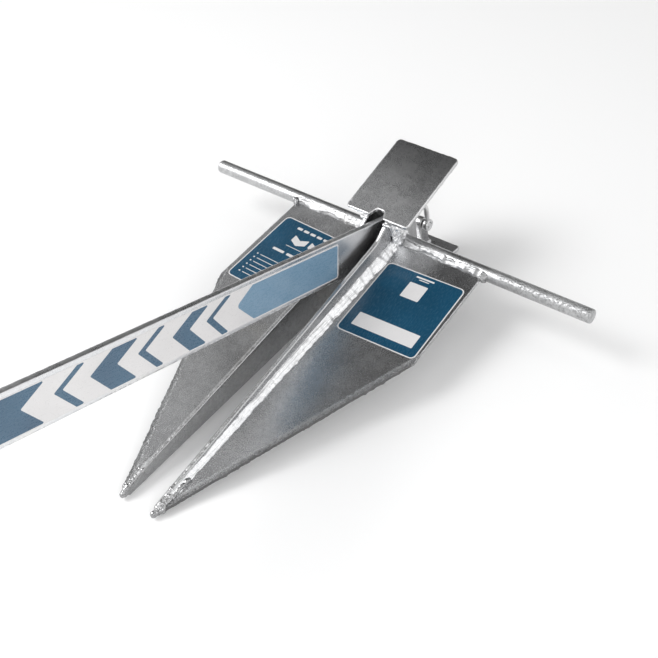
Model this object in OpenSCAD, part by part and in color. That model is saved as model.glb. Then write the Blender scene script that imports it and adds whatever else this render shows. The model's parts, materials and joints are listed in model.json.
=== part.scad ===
// Pivoting-fluke anchor: two plate flukes and two palms welded round a round stock, and a flat shank
// that swings on the stock in the slot between the flukes.
//
// Anchor frame (used by every module): millimetres, origin on the stock's axis midway between the flukes,
// +X towards the fluke tips, +Y along the stock, +Z square to the flukes.
// placed() lays the anchor frame on the ground: tips and lower palm at z = 0, centred over the origin.

/* [Stock] */
// Diameter of the round stock
stock_d = 16; // [12:1:18]
// Overall length of the stock
stock_len = 500; // [420:10:560]
// Radius on the stock's ends
stock_end_r = 2; // [1:0.5:4]

/* [Flukes] */
// Distance from the stock's axis to the end of the fluke plates
fluke_len = 411; // [380:1:440]
// Thickness of the fluke plates
fluke_t = 4; // [3:0.5:6]
// Half width across the flukes at the stock
fluke_rear_w = 124.8; // [110:0.2:135]
// Distance from the stock's axis to the widest point
fluke_kink_x = 143; // [120:1:170]
// Half width across the flukes at the widest point
fluke_kink_w = 128.6; // [115:0.2:140]
// Half width across the flukes at the end of the plates
fluke_tip_w = 25.8; // [25:0.1:30]
// Reach of the weld built up on each tip
tip_reach = 8; // [4:0.5:12]
// Length of web and plate that the tip weld covers
tip_cover = 36; // [20:1:50]

/* [Webs] */
// Thickness of the two web plates beside the slot
web_t = 5; // [4:0.5:6]
// Clear width of the slot between the webs at the stock
slot_w = 20; // [16:0.5:24]
// Angle by which each web turns outwards towards its tip
web_splay = 1.09; // [0.5:0.01:2]
// Half height of a web where its straight taper starts, in front of the crown
web_root_h = 26.9; // [22:0.1:30]
// Distance from the stock's axis to that point
web_root_x = 41; // [38:1:50]
// Half height of a web at the tip
web_tip_h = 6.2; // [5:0.1:9]
// Distance from the stock's axis back to the webs' rear edge
web_back_x = 32; // [26:1:36]

/* [Palms] */
// Length of each palm plate, front to back
palm_len = 108; // [90:1:120]
// Width of each palm plate
palm_w = 80.6; // [70:0.2:90]
// Thickness of each palm plate
palm_t = 5; // [4:0.5:6]
// Corner radius of each palm plate
palm_r = 5; // [3:0.5:10]
// Depth of the shank notch in a palm's front edge
notch_depth = 9.5; // [6:0.5:11]
// Width of the shank notch at its bottom
notch_w = 11; // [9:0.5:14]
// Width of the shank notch at its mouth
notch_mouth_w = 20; // [15:0.5:24]
// Slope of the upper palm away from the fluke plane
upper_palm_tilt = 8.6; // [6:0.1:12]
// Slope of the lower palm away from the fluke plane
lower_palm_tilt = 14.2; // [10:0.1:16]

/* [Shank] */
// Depth of the flat bar that makes the shank
shank_depth = 51.4; // [44:0.2:54]
// Thickness of that bar
shank_t = 7; // [5:0.5:8]
// Distance from the stock's axis to the rode eye
shank_reach = 640; // [600:5:680]
// Angle between the shank and the fluke plane at rest
shank_angle = 23.9; // [5:0.1:34]
// Radial clearance of the shank's bore on the stock
shank_play = 0.5; // [0.3:0.1:0.8]
// Diameter of the rode eye
eye_d = 17; // [12:1:20]

/* [Trip shackle] */
// Diameter of the shackle's wire and pin
wire_d = 6; // [5:0.5:7]
// Diameter of the shackle's ears
ear_d = 14.6; // [12:0.2:16]
// Thickness of the shackle's ears
ear_t = 6.6; // [6.4:0.1:7.6]
// Clear width between the shackle's ears
jaw_w = 12; // [10:0.5:14]
// Length of the bow's straight legs, from the pin's axis
leg_len = 22; // [18:1:26]
// Distance from the stock's axis back to the pin's axis
pin_back = 59.5; // [56:0.5:62]
// Distance from the fluke plane down to the pin's axis
pin_drop = 30.5; // [28:0.5:33]
// Thickness of the lug that carries the shackle
lug_t = 8; // [6:0.5:9]
// Width of that lug, front to back
lug_w = 14; // [12:0.5:16]

/* [Labels and welds] */
// Thickness of the stickers
sticker_t = 0.3; // [0.2:0.1:0.5]
// Length of a fluke label along the fluke
label_len = 107; // [90:1:110]
// Width of a fluke label across the fluke
label_w = 95; // [80:1:96]
// Leg of the weld bead along each web
web_bead = 6; // [4:0.5:6]
// Leg of the weld bead along the stock
stock_bead = 7.5; // [5:0.5:9]
// Leg of the weld bead under each palm
palm_bead = 5; // [3:0.5:6]

/* [Hidden] */

ROUND_FN = 96;
LEFT = -1;
RIGHT = 1;
UP = 1;
DOWN = -1;
fit_gap = 0.05;                     // gap left between plates that a weld joins
web_hole_gap = 0.15;                // radial clearance of the webs' holes on the stock
tip_root = 0.5;                     // part of a tip's nose that keeps the web's full section
tip_bead = 3.8;                     // leg of the beads beside the tip

stock_r = stock_d / 2;
half_t = fluke_t / 2;
fluke_rear_x = stock_r;             // the fluke plates butt against the stock

// Front corner of each palm, as x and z: on the upper palm's outer face and the lower palm's inner face
upper_front = [20, 43];
lower_front = [25.7, -41.5];
upper_dir = [-cos(upper_palm_tilt), sin(upper_palm_tilt)];
lower_dir = [-cos(lower_palm_tilt), -sin(lower_palm_tilt)];

// Height of each palm's inner face over a point x, in the anchor frame
function upper_inner_z(x) =
    upper_front[1] - palm_t / cos(upper_palm_tilt) + (upper_front[0] - x) * tan(upper_palm_tilt);
function lower_inner_z(x) = lower_front[1] - (lower_front[0] - x) * tan(lower_palm_tilt);

// The ground touches the lower palm's outer rear edge and the lower edge of the tips
lower_rear = lower_front + palm_len * lower_dir
    + palm_t * [sin(lower_palm_tilt), -cos(lower_palm_tilt)];
ground_tilt = atan2(-web_tip_h - lower_rear[1], fluke_len + tip_root - lower_rear[0]);
ground_drop = lower_rear[0] * sin(ground_tilt) - lower_rear[1] * cos(ground_tilt);

// Extent along the ground, from the rearmost palm edge to the shank's eye end
function ground_x(point) = point[0] * cos(ground_tilt) + point[1] * sin(ground_tilt);
rise_angle = shank_angle - ground_tilt;
rear_reach = min(ground_x(lower_front + palm_len * lower_dir), ground_x(upper_front + palm_len * upper_dir));
front_reach = shank_reach * cos(rise_angle) + shank_depth / 2;
mid_x = (rear_reach + front_reach) / 2;

GALVANISED = "#9a9fa0";
GALVANISED_DARK = "#6e7372";
WELD = "#c9cccc";
LABEL_BLUE = "#24506f";
DECAL_BLUE = "#4b6f8c";

module placed() {
    translate([-mid_x, 0, ground_drop]) rotate([0, ground_tilt, 0]) children();
}

// Draws a profile given in x and z, and extrudes it along +Y from y = 0
module along_y(length) {
    rotate([90, 0, 0]) mirror([0, 0, 1]) linear_extrude(length) children();
}

// Frame of one web: x along the web, y = 0 on its slot face and growing outwards
module web_frame(side) {
    mirror([0, side == LEFT ? 1 : 0, 0])
        translate([0, slot_w / 2, 0]) rotate([0, 0, web_splay]) children();
}

module stock_solid(radius = stock_r) {
    rotate([90, 0, 0]) cylinder(h = stock_len, r = radius, center = true, $fn = ROUND_FN);
}

module rounded_rect(size, radius) {
    hull()
        for (x = [radius, size[0] - radius], y = [radius - size[1] / 2, size[1] / 2 - radius])
            translate([x, y]) circle(radius, $fn = 32);
}

// ---- stock ----

module stock() {
    color(GALVANISED_DARK) rotate([90, 0, 0]) rotate_extrude($fn = ROUND_FN)
        polygon([
            [0, -stock_len / 2],
            [stock_r - stock_end_r, -stock_len / 2],
            [stock_r, stock_end_r - stock_len / 2],
            [stock_r, stock_len / 2 - stock_end_r],
            [stock_r - stock_end_r, stock_len / 2],
            [0, stock_len / 2]
        ]);
}

// ---- flukes ----

// Half width of the slot plus web, which is where a fluke plate's inner edge runs
function inner_edge(x) = slot_w / 2 + web_t / cos(web_splay) + x * tan(web_splay) + fit_gap;

module fluke_plate(side) {
    color(GALVANISED) mirror([0, side == LEFT ? 1 : 0, 0]) translate([0, 0, -half_t])
        linear_extrude(fluke_t)
            polygon([
                [fluke_rear_x, inner_edge(fluke_rear_x)],
                [fluke_rear_x, fluke_rear_w],
                [fluke_kink_x, fluke_kink_w],
                [fluke_len - 1, fluke_tip_w],
                [fluke_len - 1, inner_edge(fluke_len)]
            ]);
}

module web_plate(side) {
    color(GALVANISED) difference() {
        web_frame(side) along_y(web_t)
            polygon([
                [fluke_len, web_tip_h],
                [web_root_x, web_root_h],
                [upper_front[0] - 1.5, upper_inner_z(upper_front[0] - 1.5) - fit_gap],
                [-web_back_x, upper_inner_z(-web_back_x) - fit_gap],
                [-web_back_x, lower_inner_z(-web_back_x) + fit_gap],
                [lower_front[0] - 3, lower_inner_z(lower_front[0] - 3) + fit_gap],
                [web_root_x, -web_root_h],
                [fluke_len, -web_tip_h]
            ]);
        stock_solid(stock_r + web_hole_gap);
    }
}

// Weld metal built up over the end of a web and its fluke plate: a nose, and a bead on each face
module fluke_tip(side) {
    nose_r = 3;
    color(WELD) web_frame(side) {
        hull() {
            translate([fluke_len, 0, -web_tip_h]) cube([tip_root, web_t, 2 * web_tip_h]);
            translate([fluke_len, web_t, -half_t]) cube([tip_root, 2.5, fluke_t]);
            translate([fluke_len + tip_reach - nose_r, web_t / 2, 0]) sphere(nose_r, $fn = 20);
        }
        for (face = [UP, DOWN]) mirror([0, 0, face == DOWN ? 1 : 0])
            translate([fluke_len - tip_cover, web_t + fit_gap, half_t]) rotate([90, 0, 90])
                linear_extrude(tip_cover + tip_root / 2) bead_section(tip_bead);
    }
}

// ---- crown ----

// A palm plate lying flat: front edge at x = 0, its length along +x, its thickness up from z = 0
module palm_plate() {
    linear_extrude(palm_t) difference() {
        rounded_rect([palm_len, palm_w], palm_r);
        polygon([
            [-1, -notch_mouth_w / 2 - 1],
            [notch_depth, -notch_w / 2],
            [notch_depth, notch_w / 2],
            [-1, notch_mouth_w / 2 + 1]
        ]);
    }
}

module upper_palm() {
    color(GALVANISED_DARK) translate([upper_front[0], 0, upper_front[1]])
        rotate([0, 180 + upper_palm_tilt, 0]) palm_plate();
}

module lower_palm() {
    color(GALVANISED_DARK) translate([lower_front[0], 0, lower_front[1]])
        rotate([0, 180 - lower_palm_tilt, 0]) palm_plate();
}

// Upright lug on the lower palm, with the bore that holds the shackle's pin
module trip_lug() {
    color(GALVANISED_DARK) translate([0, -lug_t / 2, 0]) along_y(lug_t) difference() {
        union() {
            polygon([
                [lug_w / 2 - pin_back, -pin_drop],
                [-lug_w / 2 - pin_back, -pin_drop],
                [-lug_w / 2 - pin_back, lower_inner_z(-lug_w / 2 - pin_back) + fit_gap],
                [lug_w / 2 - pin_back, lower_inner_z(lug_w / 2 - pin_back) + fit_gap]
            ]);
            translate([-pin_back, -pin_drop]) circle(lug_w / 2, $fn = ROUND_FN);
        }
        translate([-pin_back, -pin_drop]) circle(wire_d / 2 + 0.5, $fn = ROUND_FN);
    }
}

// ---- welds ----

// Fillet section in the corner between a wall along +y and a floor along +x
module bead_section(leg) {
    polygon([[0, 0], [leg, 0], [0.72 * leg, 0.42 * leg], [0.42 * leg, 0.72 * leg], [0, leg]]);
}

// Bead along a web's outer face, above and below the fluke plate
module web_weld(side) {
    start = fluke_rear_x + stock_bead + 1.5;
    end = fluke_len - tip_cover - 0.5;
    color(WELD) for (face = [UP, DOWN])
        web_frame(side) mirror([0, 0, face == DOWN ? 1 : 0])
            translate([start, web_t + fit_gap, half_t]) rotate([90, 0, 90])
                linear_extrude(end - start) bead_section(web_bead);
}

// Bead along the stock, above and below the fluke plate
module stock_weld(side) {
    run = fluke_rear_w + 4 - inner_edge(0);
    color(WELD) difference() {
        for (face = [UP, DOWN])
            mirror([0, side == LEFT ? 1 : 0, 0]) mirror([0, 0, face == DOWN ? 1 : 0])
                translate([0, inner_edge(0) + 0.3, 0]) along_y(run)
                    polygon([
                        [fluke_rear_x - 5, half_t],
                        [fluke_rear_x + stock_bead, half_t],
                        [fluke_rear_x + 0.5 * stock_bead, half_t + 0.4 * stock_bead],
                        [fluke_rear_x - 1.5, half_t + 0.66 * stock_bead],
                        [fluke_rear_x - 5, half_t + 0.66 * stock_bead]
                    ]);
        stock_solid();
    }
}

// Collar of weld round the stock on a web's outer face, behind the fluke plate
module crown_weld(side) {
    color(WELD) difference() {
        web_frame(side) translate([0, web_t + fit_gap, 0]) rotate([-90, 0, 0])
            cylinder(h = 7, r1 = stock_r + 7, r2 = stock_r, $fn = ROUND_FN);
        stock_solid();
        mirror([0, side == LEFT ? 1 : 0, 0]) translate([2.9, 0, -30]) cube([30, 60, 60]);
    }
}

// Beads between the webs' outer faces and a palm's inner face
module palm_weld(face) {
    start = -web_back_x;
    end = face == UP ? upper_front[0] - 2 : lower_front[0] - 4;
    tilt = face == UP ? upper_palm_tilt : -lower_palm_tilt;
    z0 = face == UP ? upper_inner_z(0) : lower_inner_z(0);
    color(WELD) for (side = [LEFT, RIGHT])
        web_frame(side) translate([0, web_t + fit_gap, z0 - face * fit_gap])
            rotate([0, tilt, 0]) mirror([0, 0, face == UP ? 1 : 0])
                translate([start, 0, 0]) rotate([90, 0, 90]) linear_extrude(end - start)
                    bead_section(palm_bead);
}

// Beads on both sides of the trip lug's foot
module lug_weld() {
    color(WELD) for (side = [LEFT, RIGHT])
        mirror([0, side == LEFT ? 1 : 0, 0])
            translate([-pin_back, lug_t / 2 + fit_gap, lower_inner_z(-pin_back) + fit_gap])
                rotate([0, -lower_palm_tilt, 0]) translate([-lug_w / 2, 0, 0])
                    rotate([90, 0, 90]) linear_extrude(lug_w) bead_section(4);
}

// ---- labels ----

// Sticker on a fluke's upper face; its front end leans outwards
module fluke_label(side) {
    centre_y = side == RIGHT ? 75.9 : 73.5;
    color(LABEL_BLUE) mirror([0, side == LEFT ? 1 : 0, 0])
        translate([88.5, centre_y, half_t]) rotate([0, 0, 2.4]) translate([-label_len / 2, 0, 0])
            linear_extrude(sticker_t) rounded_rect([label_len, label_w], 6);
}

// ---- shank ----

module shank_frame() {
    rotate([0, -shank_angle, 0]) children();
}

module shank() {
    color(GALVANISED) shank_frame() translate([0, -shank_t / 2, 0]) along_y(shank_t) difference() {
        union() {
            translate([0, -shank_depth / 2]) square([shank_reach, shank_depth]);
            for (x = [0, shank_reach])
                translate([x, 0]) circle(shank_depth / 2, $fn = 2 * ROUND_FN);
        }
        circle(stock_r + shank_play, $fn = ROUND_FN);
        translate([shank_reach, 0]) circle(eye_d / 2, $fn = ROUND_FN);
    }
}

module shank_decal(side) {
    start = 97;
    color(DECAL_BLUE) shank_frame()
        translate([0, side == RIGHT ? shank_t / 2 : -shank_t / 2 - sticker_t, 0])
            along_y(sticker_t) translate([start, 0])
                rounded_rect([shank_reach - 2 * start, 42.5], 3);
}

// ---- trip shackle ----

module pin_frame() {
    translate([-pin_back, 0, -pin_drop]) children();
}

module shackle_bow() {
    centre_y = (jaw_w + ear_t) / 2;
    color(GALVANISED) pin_frame() difference() {
        union() {
            for (side = [LEFT, RIGHT]) {
                translate([0, side * centre_y, 0]) cylinder(h = leg_len, d = wire_d, $fn = 48);
                translate([0, side * centre_y, 0]) rotate([90, 0, 0])
                    cylinder(h = ear_t, d = ear_d, center = true, $fn = ROUND_FN);
            }
            translate([0, 0, leg_len]) rotate([0, -90, 0]) rotate([0, 0, -90])
                rotate_extrude(angle = 180, $fn = ROUND_FN)
                    translate([centre_y, 0]) circle(d = wire_d, $fn = 48);
        }
        rotate([90, 0, 0])
            cylinder(h = 60, d = wire_d + 0.4, center = true, $fn = ROUND_FN);
    }
}

// Pin through the ears and the lug: a plain end flush with one ear, a flat head beyond the other
module shackle_pin() {
    reach = jaw_w / 2 + ear_t + 0.3;
    color(GALVANISED) pin_frame() {
        rotate([90, 0, 0])
            translate([0, 0, -reach]) cylinder(h = 2 * reach, d = wire_d, $fn = 48);
        translate([0, -reach, 0]) rotate([90, 0, 0])
            cylinder(h = 2, d = wire_d + 4, $fn = 48);
    }
}

placed() stock();
placed() fluke_plate(LEFT);  // left_fluke
placed() fluke_plate(RIGHT);  // right_fluke
placed() web_plate(LEFT);  // left_web
placed() web_plate(RIGHT);  // right_web
placed() fluke_tip(LEFT);  // left_tip
placed() fluke_tip(RIGHT);  // right_tip
placed() upper_palm();
placed() lower_palm();
placed() trip_lug();
placed() web_weld(LEFT);  // left_web_weld
placed() web_weld(RIGHT);  // right_web_weld
placed() stock_weld(LEFT);  // left_stock_weld
placed() stock_weld(RIGHT);  // right_stock_weld
placed() crown_weld(LEFT);  // left_crown_weld
placed() crown_weld(RIGHT);  // right_crown_weld
placed() palm_weld(UP);  // upper_palm_weld
placed() palm_weld(DOWN);  // lower_palm_weld
placed() lug_weld();
placed() fluke_label(LEFT);  // left_label
placed() fluke_label(RIGHT);  // right_label
placed() shank();
placed() shank_decal(LEFT);  // shank_decal_left
placed() shank_decal(RIGHT);  // shank_decal_right
placed() shackle_bow();
placed() shackle_pin();
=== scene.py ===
"""Looks of the pivoting-fluke anchor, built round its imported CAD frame.

Shapes are made in the anchor frame: millimetres, origin on the stock's axis midway between the flukes, +X to the
fluke tips, +Y along the stock, +Z square to the flukes. TO_ROW takes that frame to the part's own, in metres.

A part is (points, faces, rims). Each point's place in that frame and its rim value drive the materials. Rims run
from 0 on a face to 1 on the crest of an edge, are negative where the zinc is ragged, and mark pits on the stock.
"""

import json
import math
import bpy
from mathutils import Matrix, Vector, noise
from mathutils.geometry import tessellate_polygon


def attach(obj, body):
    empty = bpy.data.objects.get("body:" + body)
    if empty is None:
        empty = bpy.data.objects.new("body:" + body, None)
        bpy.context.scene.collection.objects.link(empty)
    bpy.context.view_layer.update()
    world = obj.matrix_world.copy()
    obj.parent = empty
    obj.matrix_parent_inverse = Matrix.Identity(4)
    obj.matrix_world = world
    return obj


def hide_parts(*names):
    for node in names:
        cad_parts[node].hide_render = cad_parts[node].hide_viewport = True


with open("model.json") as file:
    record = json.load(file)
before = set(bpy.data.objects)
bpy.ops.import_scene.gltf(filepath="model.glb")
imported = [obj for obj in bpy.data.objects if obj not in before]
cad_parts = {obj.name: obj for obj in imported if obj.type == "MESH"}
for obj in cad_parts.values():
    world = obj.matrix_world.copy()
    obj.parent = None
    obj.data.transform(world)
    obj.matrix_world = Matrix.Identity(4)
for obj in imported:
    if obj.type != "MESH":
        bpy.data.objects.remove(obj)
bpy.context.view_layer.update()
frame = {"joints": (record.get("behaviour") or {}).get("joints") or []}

# ---- frames ----

HINGES = {joint["name"]: joint for joint in frame["joints"]}
STOCK_AXIS = Vector(HINGES["shank_swing"]["pos_m"])
GROUND_TILT = math.radians(7.75612)
SHANK_RISE = math.radians(23.9)
MM = 0.001
TO_ROW = Matrix.Translation(STOCK_AXIS) @ Matrix.Rotation(GROUND_TILT, 4, "Y") @ Matrix.Scale(MM, 4)
SHANK_TO_ROW = TO_ROW @ Matrix.Rotation(-SHANK_RISE, 4, "Y")
TURN_TO_ROW = Matrix.Rotation(GROUND_TILT, 3, "Y")

# ---- sizes, in millimetres ----

STOCK_R = 8.0
STOCK_LEN = 500.0
STOCK_END_R = 2.2
STOCK_SIDES = 56
PITS_START = 122.0
PITS_RUN = 30.0

FLUKE_LEN = 411.0
FLUKE_T = 4.0
FLUKE_REAR_X = STOCK_R - 3.0
FLUKE_REAR_W = 124.8
FLUKE_KINK_X = 143.0
FLUKE_KINK_W = 128.6
FLUKE_TIP_W = 25.8

WEB_T = 5.0
SLOT_HALF = 10.0
WEB_SPLAY = math.radians(1.09)
WEB_ROOT = (41.0, 26.9)
WEB_TIP_H = 6.2
WEB_BACK_X = 32.0
WEB_TUCK = 0.6  # how far the webs run into the palms

PALM_LEN = 108.0
PALM_HALF_W = 40.3
PALM_T = 5.0
NOTCH_DEPTH = 10.2
NOTCH_MOUTH = 9.0
NOTCH_FLOOR = 5.0
UPPER_TILT = math.radians(8.6)
LOWER_TILT = math.radians(14.2)
UPPER_FRONT = (20.0, 43.0)
LOWER_FRONT = (25.7, -41.5)

SHANK_T = 7.0
SHANK_R = 25.7
SHANK_REACH = 640.0
SHANK_BORE_R = 8.5
EYE_R = 8.5

PIN_AT = (-59.5, -30.5)
PIN_R = 2.96
LUG_R = 7.0
LUG_T = 8.0
LUG_BORE_R = 3.5
WIRE_R = 3.0
BOW_HALF = 9.3
BOW_LEG = 22.0
EAR_R = 7.3
EAR_T = 6.6
EAR_BORE_R = 3.15
PIN_REACH = BOW_HALF + EAR_T / 2 + 0.3

SIDES = {"left": -1, "right": 1}


def upper_inner_z(x):
    return UPPER_FRONT[1] - PALM_T / math.cos(UPPER_TILT) + (UPPER_FRONT[0] - x) * math.tan(UPPER_TILT)


def lower_inner_z(x):
    return LOWER_FRONT[1] - (LOWER_FRONT[0] - x) * math.tan(LOWER_TILT)


def web_outer(x):
    """Distance from the middle plane to a web's outer face."""
    return SLOT_HALF + WEB_T / math.cos(WEB_SPLAY) + x * math.tan(WEB_SPLAY)


# ---- node materials ----

class Nodes:
    """Short calls that add nodes to a tree."""

    def __init__(self, tree):
        self.tree = tree

    def add(self, kind, **settings):
        node = self.tree.nodes.new(kind)
        for key, value in settings.items():
            setattr(node, key, value)
        return node

    def put(self, socket, value):
        if isinstance(value, bpy.types.NodeSocket):
            self.tree.links.new(value, socket)
        else:
            socket.default_value = value

    def vector(self, operation, a, b):
        node = self.add("ShaderNodeVectorMath", operation=operation)
        self.put(node.inputs[0], a)
        self.put(node.inputs[1], b)
        return node.outputs[0]

    def math(self, operation, a, b=0.0):
        node = self.add("ShaderNodeMath", operation=operation)
        self.put(node.inputs[0], a)
        self.put(node.inputs[1], b)
        return node.outputs[0]

    def times(self, a, b):
        return self.math("MULTIPLY", a, b)

    def plus(self, a, b):
        return self.math("ADD", a, b)

    def span(self, value, low, high, to_low=0.0, to_high=1.0):
        node = self.add("ShaderNodeMapRange", interpolation_type="SMOOTHSTEP")
        self.put(node.inputs["Value"], value)
        for key, number in (("From Min", low), ("From Max", high), ("To Min", to_low), ("To Max", to_high)):
            node.inputs[key].default_value = number
        return node.outputs["Result"]


class Surface(Nodes):
    """One material's nodes, with the part's place and rim values at hand. Noise scales are per metre."""

    def __init__(self, name):
        self.material = bpy.data.materials.new(name)
        self.material.use_nodes = True
        super().__init__(self.material.node_tree)
        self.place = self.add("ShaderNodeAttribute", attribute_name="place").outputs["Vector"]
        self.rim = self.add("ShaderNodeAttribute", attribute_name="rim").outputs["Fac"]

    def noise(self, scale, detail, rough, distort=0.0, vector=None, output="Fac"):
        node = self.add("ShaderNodeTexNoise")
        self.put(node.inputs["Vector"], vector or self.place)
        node.inputs["Scale"].default_value = scale
        node.inputs["Detail"].default_value = detail
        node.inputs["Roughness"].default_value = rough
        node.inputs["Distortion"].default_value = distort
        return node.outputs[output]

    def crystals(self, scale, vector):
        """A random value for each cell, like the facets of zinc."""
        cells = self.add("ShaderNodeTexVoronoi")
        self.put(cells.inputs["Vector"], vector)
        cells.inputs["Scale"].default_value = scale
        parts = self.add("ShaderNodeSeparateColor")
        self.put(parts.inputs[0], cells.outputs["Color"])
        return parts.outputs[0]

    def ramp(self, along, across, start, end):
        """Runs 0 to 1 over a straight band: along * x + across * |y| from start to end, in millimetres."""
        parts = self.add("ShaderNodeSeparateXYZ")
        self.put(parts.inputs[0], self.place)
        sideways = self.times(self.math("ABSOLUTE", parts.outputs[1]), across)
        reach = self.plus(self.times(parts.outputs[0], along), sideways)
        return self.span(reach, start * MM, end * MM)

    def mix(self, factor, a, b):
        node = self.add("ShaderNodeMix", data_type="RGBA")
        self.put(node.inputs["Factor"], factor)
        self.put(node.inputs[6], a)
        self.put(node.inputs[7], b)
        return node.outputs[2]

    def bump(self, height, distance, below=None):
        node = self.add("ShaderNodeBump")
        node.inputs["Strength"].default_value = 1.0
        node.inputs["Distance"].default_value = distance
        self.put(node.inputs["Height"], height)
        if below is not None:
            self.put(node.inputs["Normal"], below)
        return node.outputs["Normal"]

    def finish(self, **inputs):
        for key, value in inputs.items():
            self.put(self.tree.nodes["Principled BSDF"].inputs[key.replace("_", " ")], value)
        return self.material


def grey(level, warm=0.0):
    """A near-neutral metal colour; warm above zero leans to yellow, below to blue."""
    return (level * (1 + warm), level * (1 + 0.35 * warm), level * (1 - warm), 1.0)


DROSS_GREY = grey(0.11)
SHADE_GREY = grey(0.02)
PIT_GREY = grey(0.16)
BRIGHTEST_RIM = 0.86


def zinc(name, dark, light, rough, wave=0.0003, grain=0.00010, lumps=0.00002, spangle=0.35, cloud=1.0, warm=0.012,
         edge_highlight=0.5, drag=0.0, drawn=(120.0, 900.0, 900.0), pits=0.0, crust=None, shade=None):
    """Hot-dip zinc: clouds and crystals of two greys, fine grain, soft waves, and a painted highlight on the edges.

    wave, grain, lumps, drag and pits are bump heights in metres. drag makes ridges, drawn out as the scales in drawn
    say. crust is a ramp band of rough zinc; shade is a ramp band of painted shade and the share of light painted away
    across it."""
    m = Surface(name)
    warp = m.noise(60.0, 2.0, 0.5, output="Color")
    bent = m.vector("ADD", m.place, m.vector("MULTIPLY", warp, (0.012, 0.012, 0.012)))
    flake = m.crystals(150.0, bent)
    clouds = m.noise(22.0, 4.0, 0.6)
    blotch = m.noise(75.0, 4.0, 0.55)
    mottle = m.noise(260.0, 3.0, 0.6)
    fine = m.noise(950.0, 3.0, 0.7)
    streaks = m.noise(1.0, 3.0, 0.6, 0.0, m.vector("MULTIPLY", m.place, drawn))

    tone = m.times(flake, 0.32 * spangle)
    for pattern, low, high, share in (
        (clouds, 0.20, 0.80, 0.30 * cloud),
        (blotch, 0.25, 0.75, 0.22 * cloud),
        (fine, 0.32, 0.68, 0.34),
        (mottle, 0.30, 0.70, 0.22),
        (streaks, 0.30, 0.70, 0.03),
    ):
        tone = m.plus(tone, m.times(m.span(pattern, low, high), share))
    base = m.mix(tone, grey(dark, -0.018), grey(light, -0.006))
    stain = m.span(m.noise(14.0, 3.0, 0.5, 0.4), 0.60, 0.78)
    base = m.mix(m.times(stain, 0.35), base, grey(0.5 * (dark + light), 6 * warm))
    # Painted shade: across its band the colour is taken towards near black, standing in for shade.
    if shade:
        band, loss = shade
        base = m.mix(m.times(m.ramp(*band), loss), base, SHADE_GREY)
    # Painted highlight: the crests of edges are painted lighter, as if catching the light.
    base = m.mix(m.times(m.span(m.rim, 0.0, 1.0), edge_highlight), base, grey(min(BRIGHTEST_RIM, light * 1.12)))

    dross = m.span(m.rim, -0.9, -0.1, 1.0, 0.0)
    if crust:
        flecks = m.span(m.noise(520.0, 4.0, 0.7), 0.42, 0.60)
        dross = m.math("MAXIMUM", dross, m.times(m.ramp(*crust), flecks))
    base = m.mix(m.times(dross, 0.85), base, DROSS_GREY)

    rough_now = m.plus(m.span(clouds, 0.3, 0.7, rough - 0.03, rough + 0.03),
                       m.span(flake, 0.0, 1.0, -0.02 * spangle, 0.06 * spangle))
    rough_now = m.plus(rough_now, m.span(fine, 0.3, 0.7, -0.03, 0.04))
    rough_now = m.plus(rough_now, m.times(dross, 0.2))

    normal = m.bump(m.noise(11.0, 1.5, 0.4), wave * 4)
    normal = m.bump(m.noise(42.0, 2.0, 0.5), wave * 0.22, normal)
    normal = m.bump(m.noise(260.0, 3.0, 0.55, 0.3), lumps * 4, normal)
    normal = m.bump(fine, grain, normal)
    if drag:
        normal = m.bump(streaks, drag, normal)
    if crust:
        normal = m.bump(m.times(dross, m.noise(700.0, 3.0, 0.7)), 0.0009, normal)
    if pits:
        pocks = m.span(m.noise(420.0, 3.0, 0.62, 0.2), 0.34, 0.52)
        normal = m.bump(m.times(pocks, m.rim), pits, normal)
        rough_now = m.plus(rough_now, m.times(m.rim, 0.10))
        base = m.mix(m.times(m.math("SUBTRACT", 1.0, pocks), m.times(m.rim, 0.4)), base, PIT_GREY)
    return m.finish(Base_Color=base, Metallic=1.0, Roughness=rough_now, Normal=normal)


SCUFF_WHITE = (0.75, 0.78, 0.80, 1.0)


def vinyl(name, colour, shade, rough=0.22):
    """Printed gloss film: the ink's faint unevenness, light scuffs and soft waves in the film."""
    m = Surface(name)
    drift = m.noise(18.0, 3.0, 0.5)
    speck = m.noise(900.0, 2.0, 0.6)
    base = m.mix(m.span(drift, 0.3, 0.7), colour, shade)
    base = m.mix(m.times(m.span(speck, 0.62, 0.80), 0.03), base, SCUFF_WHITE)
    scuff = m.noise(1.0, 3.0, 0.6, 0.0, m.vector("MULTIPLY", m.place, (180.0, 900.0, 900.0)))
    rough_now = m.plus(m.span(scuff, 0.45, 0.75, rough, rough + 0.18), m.span(speck, 0.3, 0.7, -0.02, 0.04))
    normal = m.bump(m.noise(55.0, 2.0, 0.5), 0.00035)
    normal = m.bump(m.noise(900.0, 2.0, 0.5), 0.00002, normal)
    return m.finish(Base_Color=base, Roughness=rough_now, Normal=normal, Specular_IOR_Level=0.5,
                    Coat_Weight=0.20, Coat_Roughness=0.12)


# Bands for Surface.ramp, which is 1 on: the flukes' outer front edges, where the zinc is ragged; then, for painted
# shade, the flukes forward of the crown, the webs' slot faces and the palm's rear
RAGGED_BAND = (0.359, 0.933, 163.5, 169.5)
PLATE_FRONT_SHADE = (1.0, 0.35, 22.0, 90.0)
SLOT_FACE_SHADE = (-0.0190, 1.0, 12.2, 10.8)
PALM_REAR_SHADE = (-1.0, 0.0, -5.0, 90.0)
CROSSWAYS = (900.0, 90.0, 900.0)

# The flukes' zinc: painted shade makes it darker forward of the crown, lighter near it.
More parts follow.
